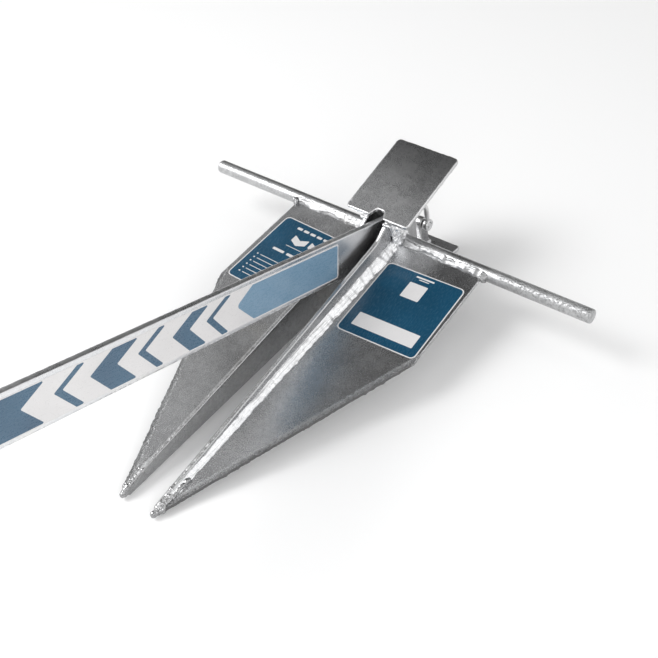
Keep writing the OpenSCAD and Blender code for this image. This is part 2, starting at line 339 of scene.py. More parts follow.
PLATE = zinc("zinc_plate", 0.49, 0.96, 0.26, wave=0.0007, lumps=0.00001, spangle=0.06, cloud=0.22, edge_highlight=0.1,
             crust=RAGGED_BAND, shade=(PLATE_FRONT_SHADE, 0.30))
# The webs' zinc: painted shade darkens their faces inside the slot.
WEB = zinc("zinc_web", 0.34, 0.66, 0.27, wave=0.0006, lumps=0.00001, spangle=0.10, cloud=0.30, edge_highlight=0.25,
           shade=(SLOT_FACE_SHADE, 0.20))
# The palm's zinc: painted shade, darker towards the palm's rear.
PALM = zinc("zinc_palm", 0.34, 0.76, 0.28, wave=0.0005, spangle=0.30, cloud=0.50, warm=-0.02, edge_highlight=0.6,
            drag=0.00008, drawn=CROSSWAYS, shade=(PALM_REAR_SHADE, 0.64))
# The lower palm's zinc: lighter than the palm's, and without its painted shade.
LOW_PALM = zinc("zinc_low_palm", 0.50, 0.86, 0.28, wave=0.0005, spangle=0.30, cloud=0.50, edge_highlight=0.15, drawn=CROSSWAYS)
BAR = zinc("zinc_bar", 0.70, 0.95, 0.30, wave=0.0004, grain=0.00006, spangle=0.10, cloud=0.5, edge_highlight=0.1)
ROD = zinc("zinc_rod", 0.30, 0.64, 0.30, grain=0.00014, lumps=0.00006, spangle=0.5, edge_highlight=0.0, pits=0.0004)
BEAD = zinc("zinc_bead", 0.50, 0.84, 0.22, grain=0.00004, lumps=0.00001, spangle=0.0, cloud=0.8, drag=0.0005,
            drawn=(30.0, 520.0, 520.0))
CROSS_BEAD = zinc("zinc_cross_bead", 0.20, 0.52, 0.34, grain=0.00006, lumps=0.00004, spangle=0.15, cloud=0.9,
                  drag=0.0005, drawn=(400.0, 60.0, 400.0))
LUMP = zinc("zinc_lump", 0.66, 0.96, 0.24, grain=0.00004, spangle=0.2, cloud=0.9)
TIP = zinc("zinc_tip", 0.14, 0.52, 0.18, grain=0.00006, lumps=0.00003, spangle=0.3)
FORGED = zinc("zinc_forged", 0.44, 0.74, 0.28, lumps=0.00012, spangle=0.4)
LABEL_BLUE = vinyl("label_blue", (0.006, 0.054, 0.105, 1.0), (0.009, 0.070, 0.134, 1.0))
DECAL_BLUE = vinyl("decal_blue", (0.045, 0.100, 0.165, 1.0), (0.058, 0.128, 0.200, 1.0), 0.26)
PANEL_BLUE = vinyl("panel_blue", (0.155, 0.270, 0.380, 1.0), (0.190, 0.305, 0.420, 1.0), 0.26)
FILM_WHITE = vinyl("film_white", (0.67, 0.66, 0.66, 1.0), (0.71, 0.70, 0.70, 1.0), 0.28)

# ---- meshes ----


def piece(name, part, to_row, body, slot, material, stands_for=(), smooth=True):
    """One object from a part in a local frame; keeps each point's place and rim value for the materials.

    Triangles stay flat: they are the big faces of plates and film."""
    points, faces, rims = part
    mesh = bpy.data.meshes.new(name)
    mesh.from_pydata([tuple(p) for p in points], [], [tuple(f) for f in faces])
    place = mesh.attributes.new("place", "FLOAT_VECTOR", "POINT")
    for item, p in zip(place.data, points):
        item.vector = Vector(p) * MM
    rim = mesh.attributes.new("rim", "FLOAT", "POINT")
    for item, value in zip(rim.data, rims):
        item.value = value
    mesh.transform(to_row)
    mesh.materials.append(material)
    for polygon in mesh.polygons:
        polygon.use_smooth = smooth and len(polygon.vertices) > 3
    mesh.update()
    obj = bpy.data.objects.new(name, mesh)
    bpy.context.scene.collection.objects.link(obj)
    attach(obj, body)
    if stands_for:
        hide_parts(*stands_for)


def merged(parts):
    """Joins parts into one."""
    points, faces, rims = [], [], []
    for part in parts:
        base = len(points)
        points += part[0]
        faces += [[base + i for i in face] for face in part[1]]
        rims += part[2]
    return points, faces, rims


def turns(count, full=2 * math.pi):
    return [full * k / count for k in range(count)]


def area(loop):
    return sum(a[0] * b[1] - b[0] * a[1] for a, b in zip(loop, loop[1:] + loop[:1])) / 2


def rounded(corners, radii, steps=6):
    """Replaces each corner of a loop by an arc of its own radius."""
    out = []
    count = len(corners)
    for i, corner in enumerate(corners):
        c = Vector(corner)
        before = (Vector(corners[i - 1]) - c).normalized()
        after = (Vector(corners[(i + 1) % count]) - c).normalized()
        radius = radii[i]
        if radius <= 0:
            out.append(tuple(c))
            continue
        half = math.acos(max(-1, min(1, before.dot(after)))) / 2
        reach = radius / math.tan(half)
        start, end = c + before * reach, c + after * reach
        middle = c + (before + after).normalized() * (radius / math.sin(half))
        a0 = math.atan2(start.y - middle.y, start.x - middle.x)
        a1 = math.atan2(end.y - middle.y, end.x - middle.x)
        turn = (a1 - a0 + math.pi) % (2 * math.pi) - math.pi
        for k in range(steps + 1):
            angle = a0 + turn * k / steps
            out.append((middle.x + radius * math.cos(angle), middle.y + radius * math.sin(angle)))
    return out


def circle(centre, radius, count=72):
    return [(centre[0] + radius * math.cos(a), centre[1] + radius * math.sin(a)) for a in turns(count)]


def densified(loop, step):
    out = []
    for a, b in zip(loop, loop[1:] + loop[:1]):
        pieces = max(1, math.ceil(math.dist(a, b) / step))
        out += [(a[0] + (b[0] - a[0]) * k / pieces, a[1] + (b[1] - a[1]) * k / pieces) for k in range(pieces)]
    return out


def outward(loop):
    """Unit outward directions of a counter-clockwise loop, lengthened at its corners."""
    out = []
    for before, at, after in zip(loop[-1:] + loop[:-1], loop, loop[1:] + loop[:1]):
        a = (Vector(at) - Vector(before)).normalized()
        b = (Vector(after) - Vector(at)).normalized()
        na, nb = Vector((a.y, -a.x)), Vector((b.y, -b.x))
        mean = (na + nb).normalized()
        out.append(mean / max(0.5, mean.dot(na)))
    return out


def wiggle(x, y, z):
    return noise.noise(Vector((x, y, z)))


EDGE_STEPS = 4
FLAT_BAND = 0.7
INNER_RIM = 0.35
# Noise steps per millimetre, along a plate and through it
LUMPS_PER_MM = 0.16
LUMPS_THROUGH = 0.10


def plate(loops, thick, edge_r, ragged, step, seed, ragged_at=None):
    """A plate with rounded, slightly ragged zinc edges. loops are (u, v) outlines, the first the outer one.

    The plate's local frame is u, v and height, with height 0 at its lower face. ragged_at(u, v) scales the edge's
    roughness along the outline, and where it is 1 the rims are negative."""
    quarter = []
    for k in range(EDGE_STEPS + 1):
        a = math.pi / 2 * k / EDGE_STEPS
        rough = math.sin(a)
        quarter.append((edge_r * (1 - rough), edge_r * (1 - math.cos(a)), rough, INNER_RIM + (1 - INNER_RIM) * rough))
    rings = [(edge_r + FLAT_BAND, thick, 0.0, 0.0)]
    rings += [(inset, thick - height, rough, rim) for inset, height, rough, rim in quarter]
    rings += quarter[::-1]
    rings += [(edge_r + FLAT_BAND, 0.0, 0.0, 0.0)]
    points, faces, rims = [], [], []
    caps = {"top": [], "bottom": []}
    for number, loop in enumerate(loops):
        loop = densified(loop, step)
        if (area(loop) > 0) != (number == 0):
            loop = loop[::-1]
        outs = outward(loop)
        shares = [ragged_at(u, v) if ragged_at else 1.0 for u, v in loop]
        first = len(points)
        count = len(loop)
        for inset, height, rough, rim in rings:
            for (u, v), out, share in zip(loop, outs, shares):
                local = ragged * share
                where = Vector((u * LUMPS_PER_MM, v * LUMPS_PER_MM, height * LUMPS_THROUGH + seed))
                lump = noise.noise(where) * 0.6 + noise.noise(where * 3.1) * 0.5
                grow = (lump * rough - 0.25 * rough) * local
                swell = noise.noise(where * 1.9 + Vector((9.0, 0, 0))) * 0.25 * local * (1 - rough) * (rim > 0)
                points.append(Vector((u + out.x * (grow - inset), v + out.y * (grow - inset), height + swell)))
                rims.append(-rim if ragged_at and share >= 1.0 else rim)
        for r in range(len(rings) - 1):
            a, b = first + r * count, first + (r + 1) * count
            for i in range(count):
                j = (i + 1) % count
                faces.append([a + i, b + i, b + j, a + j])
        last = first + (len(rings) - 1) * count
        caps["top"].append(list(range(first, first + count)))
        caps["bottom"].append(list(range(last, last + count)))
    for side, groups in caps.items():
        order = [i for group in groups for i in group]
        for tri in tessellate_polygon([[points[i] for i in group] for group in groups]):
            corners = [order[i] for i in tri]
            p, q, r = (points[i] for i in corners)
            up = (q - p).cross(r - p).z > 0
            faces.append(corners if up == (side == "top") else corners[::-1])
    return points, faces, rims


def moved(part, matrix):
    """The same part in another frame; a mirroring matrix also turns the faces round."""
    points, faces, rims = part
    points = [matrix @ Vector(p) for p in points]
    if matrix.determinant() < 0:
        faces = [list(face)[::-1] for face in faces]
    return points, faces, rims


MIRROR = Matrix.Scale(-1, 4, (0, 1, 0))


def mirrored(part, side):
    return moved(part, MIRROR) if side < 0 else part


def axes(u, v, height, origin=(0, 0, 0)):
    """Matrix that takes local u, v and height to the given directions."""
    m = Matrix((u, v, height)).transposed().to_4x4()
    m.translation = Vector(origin)
    return m


# Local u, v, height of an upright plate: u along +X, v along +Z, height along -Y, so it's right-handed
UPRIGHT = axes((1, 0, 0), (0, 0, 1), (0, -1, 0))


# ---- welds ----

BEAD_STEP = 0.9
BEAD_SIDES = 16
BEAD_SINK = 0.6
RIPPLE_PITCH = 5.0


def bead(path, wall, floor, leg_wall, leg_floor, seed, ripple=0.02, lump=0.22, flat=1.7, low_end=1.0, drawn_out=1.0):
    """A fillet bead along a straight path of (start, end), in the corner between two faces.

    wall and floor are the directions away from the corner along each face. The bead is crowned, its toes wander,
    and it carries drawn-out lumps and the faint overlapping ripples that a torch leaves. flat sets the profile: 2 is
    a straight chamfer and less is fuller. low_end is the size left at the far end."""
    start, end = Vector(path[0]), Vector(path[1])
    wall, floor = Vector(wall).normalized(), Vector(floor).normalized()
    along = end - start
    length = along.length
    along.normalize()
    count = max(8, int(length / BEAD_STEP))
    points, faces = [], []
    phase = 0.0
    for i in range(count + 1):
        s = length * i / count
        phase += BEAD_STEP / (RIPPLE_PITCH * (1 + 0.5 * wiggle(s * 0.09, seed, 3.0)))
        taper = min(1.0, (min(s, length - s) + 0.8) / 5.0) ** 0.5
        taper *= 1 + (low_end - 1) * s / length
        drift_a = 1.1 * wiggle(s * 0.050, seed, 11.0) + 0.6 * wiggle(s * 0.17, seed, 13.0)
        drift_b = 1.2 * wiggle(s * 0.045, seed, 23.0) + 0.8 * wiggle(s * 0.16, seed, 27.0)
        toe_a = leg_wall * taper * (1 + lump * drift_a)
        toe_b = leg_floor * taper * (1 + lump * drift_b)
        centre = start + along * s
        points.append(centre - wall * BEAD_SINK - floor * BEAD_SINK)
        for k in range(BEAD_SIDES + 1):
            t = math.pi / 2 * k / BEAD_SIDES
            edge = math.sin(2 * t)
            lag = phase - 0.6 * edge
            crest = (lag - math.floor(lag)) ** 0.5
            swell = ripple * (crest - 0.6)
            swell += lump * 0.60 * wiggle(s * 0.055 / drawn_out, t * 1.6, seed)
            swell += lump * 0.36 * wiggle(s * 0.10 / drawn_out, t * 6.5, seed + 5.0)
            swell += lump * 0.14 * wiggle(s * 0.33 / drawn_out, t * 13.0, seed + 9.0)
            grow = 1 + swell * edge
            points.append(centre + wall * (toe_a * math.sin(t) ** flat * grow + 0.12 * edge)
                          + floor * (toe_b * math.cos(t) ** flat * grow + 0.12 * edge))
    ring = BEAD_SIDES + 2
    flip = wall.cross(floor).dot(along) < 0
    for i in range(count):
        a, b = i * ring, (i + 1) * ring
        for k in range(ring):
            n = (k + 1) % ring
            face = [a + k, a + n, b + n, b + k]
            faces.append(face[::-1] if flip else face)
    first, last = list(range(ring)), [count * ring + k for k in range(ring)]
    faces.append(first if flip else first[::-1])
    faces.append(last[::-1] if flip else last)
    return points, faces, [0.0] * len(points)


def web_point(x, y, z):
    """A point of the right web's frame in the anchor frame."""
    c, s = math.cos(WEB_SPLAY), math.sin(WEB_SPLAY)
    return Vector((x * c - y * s, SLOT_HALF + x * s + y * c, z))


def unit_ball(rows, columns):
    points = [Vector((0, 0, 1))]
    for i in range(1, rows):
        a = math.pi * i / rows
        points += [Vector((math.sin(a) * math.cos(b), math.sin(a) * math.sin(b), math.cos(a))) for b in turns(columns)]
    points.append(Vector((0, 0, -1)))
    last = len(points) - 1
    faces = []
    for j in range(columns):
        n = (j + 1) % columns
        faces.append([0, 1 + j, 1 + n])
        for i in range(rows - 2):
            a, b = 1 + i * columns, 1 + (i + 1) * columns
            faces.append([a + j, b + j, b + n, a + n])
        base = 1 + (rows - 2) * columns
        faces.append([base + j, last, base + n])
    return points, faces


def weld_skin(name, spots, material, stands_for, voxel, ruffle, scale, seed, smooth):
    """Overlapping dabs of weld metal melted into one lumpy skin. spots are (centre, (rx, ry, rz)).

    ruffle is how far the skin strays, scale how quickly along it, and smooth how many times it is softened first."""
    ball_points, ball_faces = unit_ball(10, 16)
    points, faces = [], []
    for (x, y, z), (rx, ry, rz) in spots:
        base = len(points)
        points += [(x + p.x * rx, y + p.y * ry, z + p.z * rz) for p in ball_points]
        faces += [[base + i for i in face] for face in ball_faces]
    mesh = bpy.data.meshes.new(name + "_raw")
    mesh.from_pydata(points, [], faces)
    raw = bpy.data.objects.new(name + "_raw", mesh)
    bpy.context.scene.collection.objects.link(raw)
    remesh = raw.modifiers.new("melt", "REMESH")
    remesh.mode = "VOXEL"
    remesh.voxel_size = voxel
    soften = raw.modifiers.new("soften", "SMOOTH")
    soften.factor = 0.5
    soften.iterations = smooth
    baked = bpy.data.meshes.new_from_object(raw.evaluated_get(bpy.context.evaluated_depsgraph_get()))
    bpy.data.objects.remove(raw)
    skin = []
    for vertex in baked.vertices:
        p = vertex.co.copy()
        q = Vector((p.x, p.y, p.z + seed)) * scale
        lump = noise.noise(q) + 0.5 * noise.noise(q * 2.3)
        skin.append(p + vertex.normal * lump * ruffle)
    skin_faces = [list(polygon.vertices) for polygon in baked.polygons]
    bpy.data.meshes.remove(baked)
    part = (skin, skin_faces, [0.0] * len(skin))
    piece(name, part, TO_ROW, "flukes", "weld_zinc", material, stands_for)


def dabs(start, end, radius, pitch, seed, wander, stretch=(1, 1, 1)):
    """Spots of weld metal in a row, each a little off the line and of its own size."""
    start, end = Vector(start), Vector(end)
    count = max(2, int((end - start).length / pitch) + 1)
    out = []
    for i in range(count):
        jog = Vector([wiggle(i * 1.7, seed, z) for z in (0.3, 5.3, 9.3)])
        size = radius * (1 + 0.45 * wiggle(i * 1.3, seed, 14.7))
        out.append((start.lerp(end, i / (count - 1)) + jog * wander * radius, tuple(size * k for k in stretch)))
    return out


def on_side(spots, side):
    return [((c[0], side * c[1], c[2]), radii) for c, radii in spots]


# ---- stock ----

END_STEPS = 5
STATION_GAP = 1.6
ZINC_SHRINK = -0.12


def rod(length, radius, end_r, seed):
    """Round bar along +Y, a little uneven where the zinc has run, with softened ends. Its rims mark the pitted end."""
    ends = turns(4 * END_STEPS)[:END_STEPS + 1]
    ends = [(-length / 2 + end_r * (1 - math.cos(a)), radius - end_r * (1 - math.sin(a))) for a in ends]
    inner = length / 2 - end_r
    count = int(2 * inner / STATION_GAP)
    middle = [(-inner + 2 * inner * k / count, radius) for k in range(1, count)]
    face_r = (radius - end_r) * 0.5
    stations = [(-length / 2, face_r)] + ends + middle + [(-y, r) for y, r in ends[::-1]] + [(length / 2, face_r)]
    points, faces, rims = [Vector((0, -length / 2, 0))], [], [0.0]
    for y, r in stations:
        pitted = max(0.0, min(1.0, (y - PITS_START) / PITS_RUN))
        for a in turns(STOCK_SIDES):
            where = Vector((math.cos(a) * 1.1, y * 0.071, math.sin(a) * 1.1 + seed))
            grow = 0.07 * noise.noise(where * 0.6) + 0.035 * noise.noise(where * 2.7)
            grow += 0.07 * pitted * noise.noise(where * 8.3)
            run = ZINC_SHRINK + grow * min(1.0, r / radius)
            points.append(Vector(((r + run) * math.cos(a), y, (r + run) * math.sin(a))))
            rims.append(pitted)
    points.append(Vector((0, length / 2, 0)))
    rims.append(0.0)
    rows = len(stations)
    for k in range(STOCK_SIDES):
        n = (k + 1) % STOCK_SIDES
        faces.append([0, 1 + k, 1 + n])
        for i in range(rows - 1):
            a, b = 1 + i * STOCK_SIDES, 1 + (i + 1) * STOCK_SIDES
            faces.append([a + k, b + k, b + n, a + n])
        base = 1 + (rows - 1) * STOCK_SIDES
        faces.append([base + k, len(points) - 1, base + n])
    return points, faces, rims


piece("stock_rod", rod(STOCK_LEN, STOCK_R, STOCK_END_R, 0.0), TO_ROW, "flukes", "galvanised_dull", ROD, ("stock",))

# ---- fluke, web and palm plates ----


def fluke(side):
    front = FLUKE_LEN - 1
    inner = [(FLUKE_REAR_X, web_outer(STOCK_R) - 1.0), (front, web_outer(FLUKE_LEN) - 1.0)]
    outer = [(front, FLUKE_TIP_W), (FLUKE_KINK_X, FLUKE_KINK_W), (FLUKE_REAR_X, FLUKE_REAR_W)]
    loop = rounded(inner + outer, [0, 0, 1.5, 3.0, 1.0], 5)

    def ragged_at(u, v):
        front_edge = u > FLUKE_KINK_X + 3 and v > web_outer(u) + 3
        return 1.0 if front_edge else 0.25

    part = plate([loop], FLUKE_T, edge_r=0.9, ragged=2.4, step=0.9, seed=4.0 + side, ragged_at=ragged_at)
    return mirrored(moved(part, Matrix.Translation((0, 0, -FLUKE_T / 2))), side)


def web(side):
    back, upper, lower = -WEB_BACK_X, UPPER_FRONT[0] - 1.5, LOWER_FRONT[0] - 3
    top = [(FLUKE_LEN, WEB_TIP_H), WEB_ROOT]
    top += [(x, upper_inner_z(x) + WEB_TUCK) for x in (upper, back)]
    bottom = [(x, lower_inner_z(x) - WEB_TUCK) for x in (back, lower)]
    bottom += [(WEB_ROOT[0], -WEB_ROOT[1]), (FLUKE_LEN, -WEB_TIP_H)]
    loop = rounded(top + bottom, [1.5, 30, 2, 0, 0, 2, 30, 1.5], 6)
    part = plate([loop], WEB_T, edge_r=1.5, ragged=0.45, step=1.5, seed=20.0 + side)
    stand = Matrix.Translation((0, SLOT_HALF, 0)) @ Matrix.Rotation(WEB_SPLAY, 4, "Z")
    return mirrored(moved(part, stand @ Matrix.Translation((0, WEB_T, 0)) @ UPRIGHT), side)


def palm(seed):
    """Palm lying flat: front edge at u = 0, growing along +u, with the shank's notch in the front edge."""
    w, deep, mouth, bed = PALM_HALF_W, NOTCH_DEPTH, NOTCH_MOUTH, NOTCH_FLOOR
    outline = [(PALM_LEN, -w), (PALM_LEN, w), (0, w), (0, mouth), (deep, bed), (deep, -bed), (0, -mouth), (0, -w)]
    loop = rounded(outline, [5, 5, 5, 3.0, 3.2, 3.2, 3.0, 5], 7)
    return plate([loop], PALM_T, edge_r=1.5, ragged=0.75, step=1.3, seed=seed)


for word, side in SIDES.items():
    piece(word + "_fluke_plate", fluke(side), TO_ROW, "flukes", "galvanised", PLATE, (word + "_fluke",))
for word, side in SIDES.items():
    piece(word + "_web_plate", web(side), TO_ROW, "flukes", "galvanised", WEB, (word + "_web",))
for word, front, turn, seed, coat in (
    ("upper", UPPER_FRONT, math.pi + UPPER_TILT, 31.0, PALM),
    ("lower", LOWER_FRONT, math.pi - LOWER_TILT, 37.0, LOW_PALM),
):
    stand = Matrix.Translation((front[0], 0, front[1])) @ Matrix.Rotation(turn, 4, "Y")
    part = moved(palm(seed), stand)
    piece(word + "_palm_plate", part, TO_ROW, "flukes", "galvanised_dull", coat, (word + "_palm",))

# ---- weld beads ----


def web_beads(side):
    parts = []
    floor_way = (-math.sin(WEB_SPLAY), math.cos(WEB_SPLAY), 0)
    for face in (1, -1):
        path = [web_point(x, WEB_T, face * FLUKE_T / 2) for x in (STOCK_R + 5, FLUKE_LEN - 13)]
        seed = 40.0 + face + 3 * side
        run = bead(path, (0, 0, face), floor_way, 9.0, 8.6, seed, ripple=0.0, flat=1.93, low_end=0.5, drawn_out=3.0)
        parts.append(mirrored(run, side))
    return merged(parts)


def stock_beads(side):
    parts = []
    for face in (1, -1):
        path = [(STOCK_R - 2.2, y + 3.5, face * FLUKE_T / 2) for y in (web_outer(0), FLUKE_REAR_W)]
        run = bead(path, (-0.34, 0, face), (1, 0, 0), 5.6, 4.6, 60.0 + face + 3 * side, lump=0.38, flat=1.6)
        parts.append(mirrored(run, side))
    return merged(parts)


def palm_beads(face):
    inner = upper_inner_z if face > 0 else lower_inner_z
    front = UPPER_FRONT[0] - 3 if face > 0 else LOWER_FRONT[0] - 4
    back = -WEB_BACK_X + 1
    path = [(back, web_outer(-WEB_BACK_X), inner(back)), (front, web_outer(front), inner(front))]
    runs = [mirrored(bead(path, (0, 0, -face), (0, 1, 0), 5.0, 4.6, 80.0 + face + 3 * side), side) for side in (-1, 1)]
    return merged(runs)


for word, side in SIDES.items():
    piece(word + "_web_beads", web_beads(side), TO_ROW, "flukes", "weld_zinc", BEAD, (word + "_web_weld",))
    piece(word + "_stock_beads", stock_beads(side), TO_ROW, "flukes", "weld_zinc", CROSS_BEAD, (word + "_stock_weld",))
for word, face in (("upper", 1), ("lower", -1)):
    piece(word + "_palm_beads", palm_beads(face), TO_ROW, "flukes", "weld_zinc", BEAD, (word + "_palm_weld",))

# ---- lumpy welds: tips, crown, corners and lug ----

# Rows of weld at a tip: two ends as (distance behind the fluke's end, distance from the slot face, height),
# then radius, seed, wander and stretch
TIP_ROWS = (
    ((40, WEB_T + 2.6, 3.2), (3, WEB_T + 0.8, 2.0), 2.6, 90, 0.45, (1.3, 1.0, 0.9)),
    ((28, WEB_T / 2, WEB_TIP_H - 0.4), (1, WEB_T / 2, WEB_TIP_H - 2.8), 2.6, 95, 0.32, (1.3, 1.0, 0.9)),
    ((22, WEB_T, 4.4), (4, WEB_T - 0.2, 3.2), 2.2, 97, 0.3, (1.2, 1.0, 1.0)),
)
TIP_PITCH = 2.1
COLLAR_SPOTS = 17


def tip_spots(side):
    """Weld built up round a fluke's point: along the bead, the web's edge and its side, and over the nose."""
    spots = []
    for face in (1, -1):
        for rear, front, radius, seed, wander, stretch in TIP_ROWS:
            ends = [web_point(FLUKE_LEN - behind, out, face * z) for behind, out, z in (rear, front)]
            spots += dabs(*ends, radius, TIP_PITCH, seed + face + side, wander, stretch)
    nose = [web_point(FLUKE_LEN - 5, WEB_T / 2 + 0.8, 0), web_point(FLUKE_LEN + 4.6, WEB_T / 2, 0)]
    spots += dabs(*nose, 3.5, 1.5, 99 + side, 0.1, (0.9, 0.9, 1.15))
    return on_side(spots, side)


def crown_spots(side):
    """Weld where the stock meets a web's outer face, heavier in front, and at the corners under the palms' fronts."""
    spots = []
    for k in range(COLLAR_SPOTS):
        a = math.radians(-200 + 22 * k)
        reach = STOCK_R + 1.6 + 0.8 * wiggle(k * 0.9, side, 2.0)
        size = 2.9 + 0.9 * wiggle(k * 1.1, side, 7.0)
        x, z = reach * math.cos(a), reach * math.sin(a)
        spots.append(((x, web_outer(x) + 1.4, z), (size, size * 1.1, size)))
    for face in (1, -1):
        start, end = (9.5, web_outer(9) + 1.5, face * 3.5), (17.5, web_outer(17) + 3.5, face * 3.0)
        spots += dabs(start, end, 3.8, 2.0, 120 + face + side, 0.3)
    spots += dabs((9.5, web_outer(9) + 5.0, 6.0), (8.0, web_outer(8) + 3.2, 31.0), 4.6, 3.6, 126 + side, 0.5)
    spots += dabs((13.5, web_outer(13) + 2.6, 5.0), (14.5, web_outer(15) + 1.0, 31.0), 3.2, 3.2, 131 + side, 0.6)
    spots += dabs((1.0, web_outer(1) + 4.0, 10.0), (2.0, web_outer(3) + 2.4, 32.0), 4.4, 3.6, 137 + side, 0.5)
    for x, z in ((21.5, 37.2), (LOWER_FRONT[0] + 0.5, -36.6)):
        spots += dabs((x, 12.4, z), (x - 0.5, web_outer(x) + 2.0, z - 0.5), 2.3, 1.9, 133 + side + x, 0.35)
    return on_side(spots, side)


def corner_spots(side):
    """Weld wrapped round the fluke's outer rear corner, where it meets the stock."""
    y = FLUKE_REAR_W
    spots = dabs((11.0, y - 1.0, 2.6), (6.6, y + 1.5, 5.6), 2.5, 2.2, 170 + side, 0.4)
    spots += dabs((10.6, y + 1.2, 1.5), (8.0, y + 2.2, -3.5), 2.6, 2.0, 173 + side, 0.4)
    spots += dabs((9.0, y + 2.0, 1.0), (7.0, y + 4.5, 3.4), 2.4, 2.0, 177 + side, 0.3)
    return on_side(spots, side)


def lug_spots():
    """Weld round the foot of the lug: along its two faces, then across its two ends."""
    spots = []
    for side in (-1, 1):
        path = [(x, side * 4.6, lower_inner_z(x) + 1.0) for x in (PIN_AT[0] - LUG_R, PIN_AT[0] + LUG_R)]
        spots += dabs(*path, 2.4, 1.9, 140 + side, 0.25, (1, 1.2, 0.9))
    for x in (PIN_AT[0] - 7.4, PIN_AT[0] + 7.4):
        path = [(x, y, lower_inner_z(x) + 0.8) for y in (-3.5, 3.5)]
        spots += dabs(*path, 2.2, 1.9, 150 + x, 0.2, (1.1, 1, 0.9))
    return spots


for word, side in SIDES.items():
    weld_skin(word + "_tip_build_up", tip_spots(side), TIP, (word + "_tip",),
              voxel=0.5, ruffle=0.50, scale=0.50, seed=3.0 * side, smooth=2)
    weld_skin(word + "_crown_build_up", crown_spots(side), LUMP, (word + "_crown_weld",),
              voxel=0.6, ruffle=0.32, scale=0.30, seed=5.0 * side, smooth=1)
    weld_skin(word + "_corner_build_up", corner_spots(side), CROSS_BEAD, (),
              voxel=0.6, ruffle=0.35, scale=0.35, seed=7.0 * side, smooth=1)
weld_skin("lug_foot_weld", lug_spots(), BEAD, ("lug_weld",), voxel=0.6, ruffle=0.2, scale=0.3, seed=8.0, smooth=2)

# ---- trip lug, bow and pin ----


def lug():
    x, z = PIN_AT
    arc = [(x + LUG_R * math.cos(a), z + LUG_R * math.sin(a)) for a in turns(32)[:17]]
    foot = [(at, lower_inner_z(at) - 0.5) for at in (x - LUG_R, x + LUG_R)]
    loops = [arc + foot, circle(PIN_AT, LUG_BORE_R, 40)]
    part = plate(loops, LUG_T, edge_r=0.9, ragged=0.25, step=1.0, seed=160.0)
    return moved(part, Matrix.Translation((0, LUG_T / 2, 0)) @ UPRIGHT)


def tube(path, radius, up_way, seed, sides=20):
    """A bar of round section along a path; up_way is a direction that is square to the whole path."""
    points, faces = [], []
    path = [Vector(p) for p in path]
    count = len(path)
    for i, p in enumerate(path):
        ahead = (path[min(count - 1, i + 1)] - path[max(0, i - 1)]).normalized()
        up = (up_way - ahead * up_way.dot(ahead)).normalized()
        across = ahead.cross(up)
        for a in turns(sides):
            direction = up * math.cos(a) + across * math.sin(a)
            where = p * 0.25 + direction * 0.8 + Vector((0, 0, seed))
            points.append(p + direction * (radius - 0.08 + 0.10 * noise.noise(where)))
    for i in range(count - 1):
        a, b = i * sides, (i + 1) * sides
        for k in range(sides):
            n = (k + 1) % sides
            faces.append([a + k, a + n, b + n, b + k])
    faces.append(list(range(sides))[::-1])
    faces.append([(count - 1) * sides + k for k in range(sides)])
    return points, faces, [0.0] * len(points)


def bow():
    """The bow's bar, from ear to ear, and the two ears. Its legs start 4 mm above the pin's axis."""
    x, z = PIN_AT
    legs = [z + 4 + (BOW_LEG - 4) * k / 9 for k in range(10)]
    arch = [(-BOW_HALF * math.cos(a), z + BOW_LEG + BOW_HALF * math.sin(a)) for a in turns(56)[1:28]]
    path = [(x, -BOW_HALF, at) for at in legs] + [(x, y, at) for y, at in arch]
    path += [(x, BOW_HALF, at) for at in legs[::-1]]
    parts = [tube(path, WIRE_R, Vector((1, 0, 0)), 170.0)]
    loops = [circle(PIN_AT, EAR_R, 56), circle(PIN_AT, EAR_BORE_R, 40)]
    for side in (-1, 1):
        ear = plate(loops, EAR_T, edge_r=1.4, ragged=0.2, step=1.0, seed=175.0 + side)
        parts.append(moved(ear, Matrix.Translation((0, side * BOW_HALF + EAR_T / 2, 0)) @ UPRIGHT))
    return merged(parts)


def turned(profile, sides=40):
    """A solid of revolution about the pin's axis; profile is (y, radius) from end to end."""
    x, z = PIN_AT
    points, faces = [], []
    for y, r in profile:
        points += [Vector((x + r * math.cos(a), y, z + r * math.sin(a))) for a in turns(sides)]
    for i in range(len(profile) - 1):
        a, b = i * sides, (i + 1) * sides
        for k in range(sides):
            n = (k + 1) % sides
            faces.append([a + k, b + k, b + n, a + n])
    faces.append(list(range(sides)))
    faces.append([(len(profile) - 1) * sides + k for k in range(sides)][::-1])
    return points, faces, [0.0] * len(points)


def pin():
    reach = PIN_REACH
    head = [(-2.0, 1.0), (-2.0, 4.2), (-1.9, 4.6), (-1.6, 4.9), (-0.3, 4.95), (0.0, 4.7), (0.02, 3.0)]
    shaft = [(y, PIN_R) for y in (-6.2, 0.0, 6.2, reach - 0.7)]
    end = [(reach - 0.2, 2.7), (reach, 2.3), (reach, 0.8)]
    return turned([(y - reach, r) for y, r in head] + shaft + end)


# The lug takes the palm's zinc, with its painted shade towards the rear.
piece("trip_lug_plate", lug(), TO_ROW, "flukes", "galvanised_dull", PALM, ("trip_lug",))
piece("trip_bow_forging", bow(), TO_ROW, "trip_shackle", "shackle_zinc", FORGED, ("shackle_bow",))
piece("trip_pin_forging", pin(), TO_ROW, "trip_shackle", "shackle_zinc", FORGED, ("shackle_pin",))

# ---- shank ----


